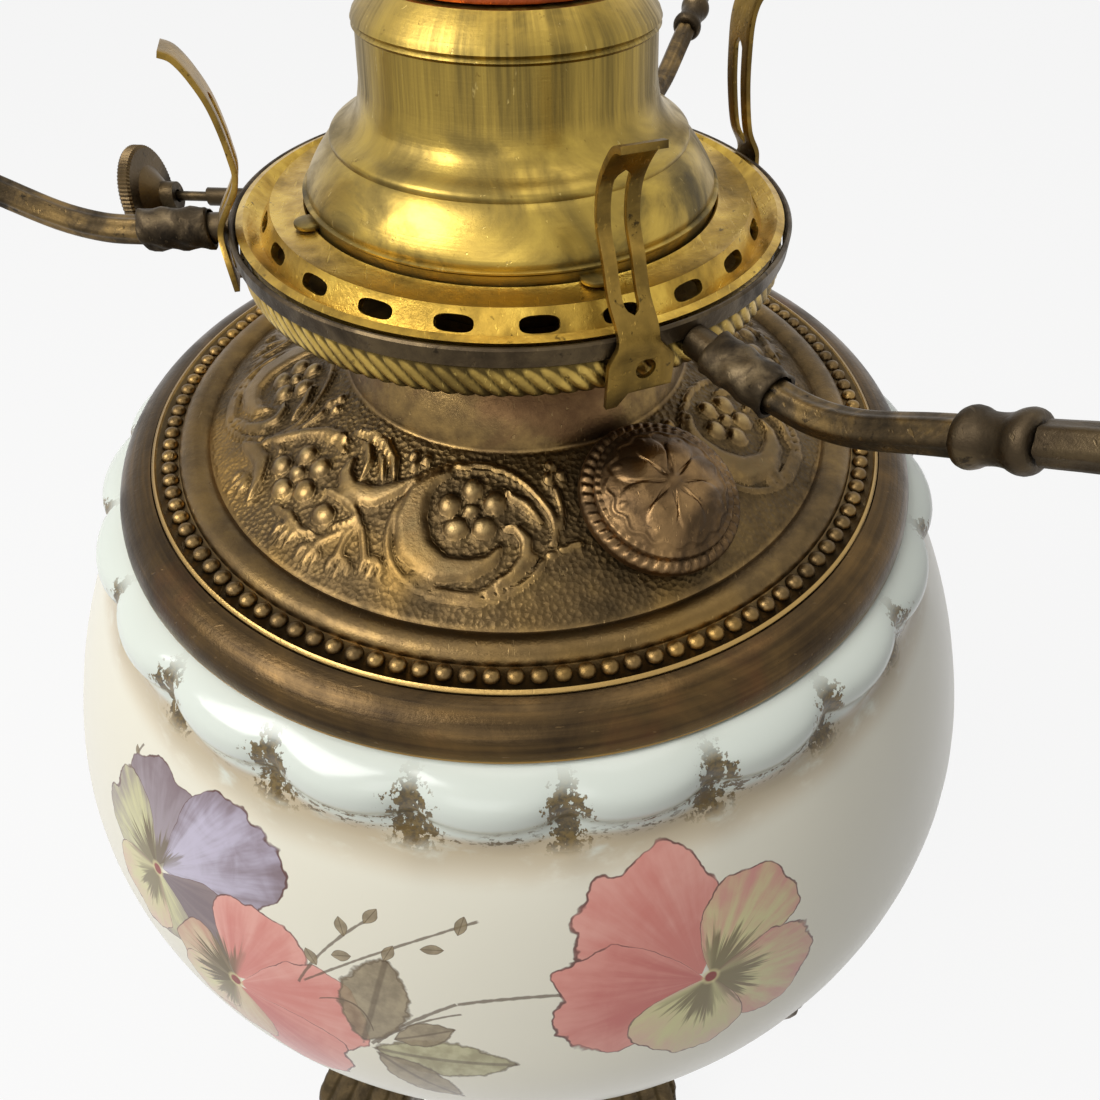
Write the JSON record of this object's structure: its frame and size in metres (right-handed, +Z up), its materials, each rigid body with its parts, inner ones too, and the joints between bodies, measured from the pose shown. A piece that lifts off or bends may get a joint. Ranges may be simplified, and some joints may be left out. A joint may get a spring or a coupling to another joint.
{
  "type": "electrified oil lamp",
  "caption": "Parlour oil lamp with painted opal glass bowl, embossed drop-in fount, stepped brass burner, shade tripod and an electric lamp socket on top.",
  "frame": {"origin": "centre of the foot on the floor, on the lamp's upright axis", "axes": "+Z up along the lamp's axis, -Y towards the viewer of the picture"},
  "size_m": [0.2512, 0.2472, 0.3685],
  "materials": {
    "dark_bronze": "dark patinated bronze, satin",
    "brown_brass": "brown patinated embossed brass, satin",
    "worn_brass": "worn golden brass, semi-gloss",
    "copper": "copper-plated brass, semi-gloss",
    "steel": "plain steel",
    "opal_glass": "opaque opal glass, hand painted, glossy",
    "plaster": "lamp cement, matte",
    "cork": "cork, matte",
    "porcelain": "white porcelain",
    "fibre": "fibre paper",
    "black_plastic": "black phenolic plastic"
  },
  "bodies": {
    "stand": {"foot_casting": "dark_bronze", "foot_neck": "dark_bronze", "foot_washer": "steel", "foot_nut": "steel", "clamp_rod": "steel", "bowl_seat_gasket": "cork", "bowl_clamp_plate": "steel", "bowl_clamp_nut": "steel", "glass_bowl": "opal_glass", "shoulder_ring": "brown_brass", "cement_ring": "plaster"},
    "fount": {"fount_top": "brown_brass", "fount_tank": "worn_brass", "tank_bottom": "worn_brass", "draught_tube": "worn_brass", "burner_collar": "brown_brass", "filler_neck": "brown_brass"},
    "filler_gasket": {"filler_gasket": "cork"},
    "filler_cap": {"filler_cap": "brown_brass"},
    "burner": {"burner_base": "worn_brass", "gallery_pan": "worn_brass", "rope_ring": "worn_brass", "wick_tube": "worn_brass", "shaft_housing": "dark_bronze"},
    "wick_knob": {"wick_shaft": "steel", "pinion": "worn_brass", "wick_knob": "dark_bronze"},
    "wick_carrier": {"wick_carrier": "worn_brass"},
    "converter": {"burner_dome": "worn_brass", "adapter_plate": "copper", "adapter_washer": "steel", "adapter_locknut": "worn_brass", "adapter_nipple": "worn_brass", "socket_cap": "worn_brass", "cord_bushing": "black_plastic", "socket_shell": "worn_brass", "insulating_liner": "fibre", "socket_body": "porcelain", "screw_shell": "copper", "centre_contact": "copper"},
    "switch_key": {"switch_key": "black_plastic"},
    "tripod": {"tripod_band": "dark_bronze", "right_arm_sleeve": "dark_bronze", "right_inner_arm": "brown_brass", "right_arm_ferrule": "dark_bronze", "right_outer_arm": "dark_bronze", "right_shade_claw": "dark_bronze", "back_arm_sleeve": "dark_bronze", "back_inner_arm": "brown_brass", "back_arm_ferrule": "dark_bronze", "back_outer_arm": "dark_bronze", "back_shade_claw": "dark_bronze", "left_arm_sleeve": "dark_bronze", "left_inner_arm": "brown_brass", "left_arm_ferrule": "dark_bronze", "left_outer_arm": "dark_bronze", "left_shade_claw": "dark_bronze", "front_prong": "worn_brass", "back_prong": "worn_brass", "left_prong": "worn_brass"}
  },
  "joints": [
    {"name": "fount_lift", "type": "slide", "parent": "stand", "child": "fount", "axis": [0, 0, 1], "range_m": [0, 0.13]},
    {"name": "filler_cap_rise", "type": "slide", "parent": "fount", "child": "filler_gasket", "axis": [0.1772, -0.3264, 0.9285], "range_m": [0, 0.0058]},
    {"name": "filler_cap_turn", "type": "hinge", "parent": "filler_gasket", "child": "filler_cap", "pos_m": [0.02219, -0.04086, 0.2531], "axis": [0.1772, -0.3264, 0.9285], "range_deg": [0, 720]},
    {"name": "burner_lift", "type": "slide", "parent": "fount", "child": "burner", "axis": [0, 0, 1], "range_m": [0, 0.06]},
    {"name": "wick_knob_turn", "type": "hinge", "parent": "burner", "child": "wick_knob", "pos_m": [0.0019, 0.02091, 0.2763], "axis": [-0.9959, 0.0906, 0], "range_deg": [0, 225]},
    {"name": "wick_rise", "type": "slide", "parent": "burner", "child": "wick_carrier", "axis": [0, 0, 1], "range_m": [0, 0.0122]},
    {"name": "converter_lift", "type": "slide", "parent": "burner", "child": "converter", "axis": [0, 0, 1], "range_m": [0, 0.06]},
    {"name": "switch_key_turn", "type": "hinge", "parent": "converter", "child": "switch_key", "pos_m": [0, 0, 0.3371], "axis": [0.9397, -0.342, 0], "continuous": true},
    {"name": "tripod_lift", "type": "slide", "parent": "burner", "child": "tripod", "axis": [0, 0, 1], "range_m": [0, 0.1]}
  ],
  "couplings": [
    {"joint": "filler_cap_rise", "follows": "filler_cap_turn", "m_per_rad": 0.00044563},
    {"joint": "wick_rise", "follows": "wick_knob_turn", "m_per_rad": 0.0030558}
  ]
}
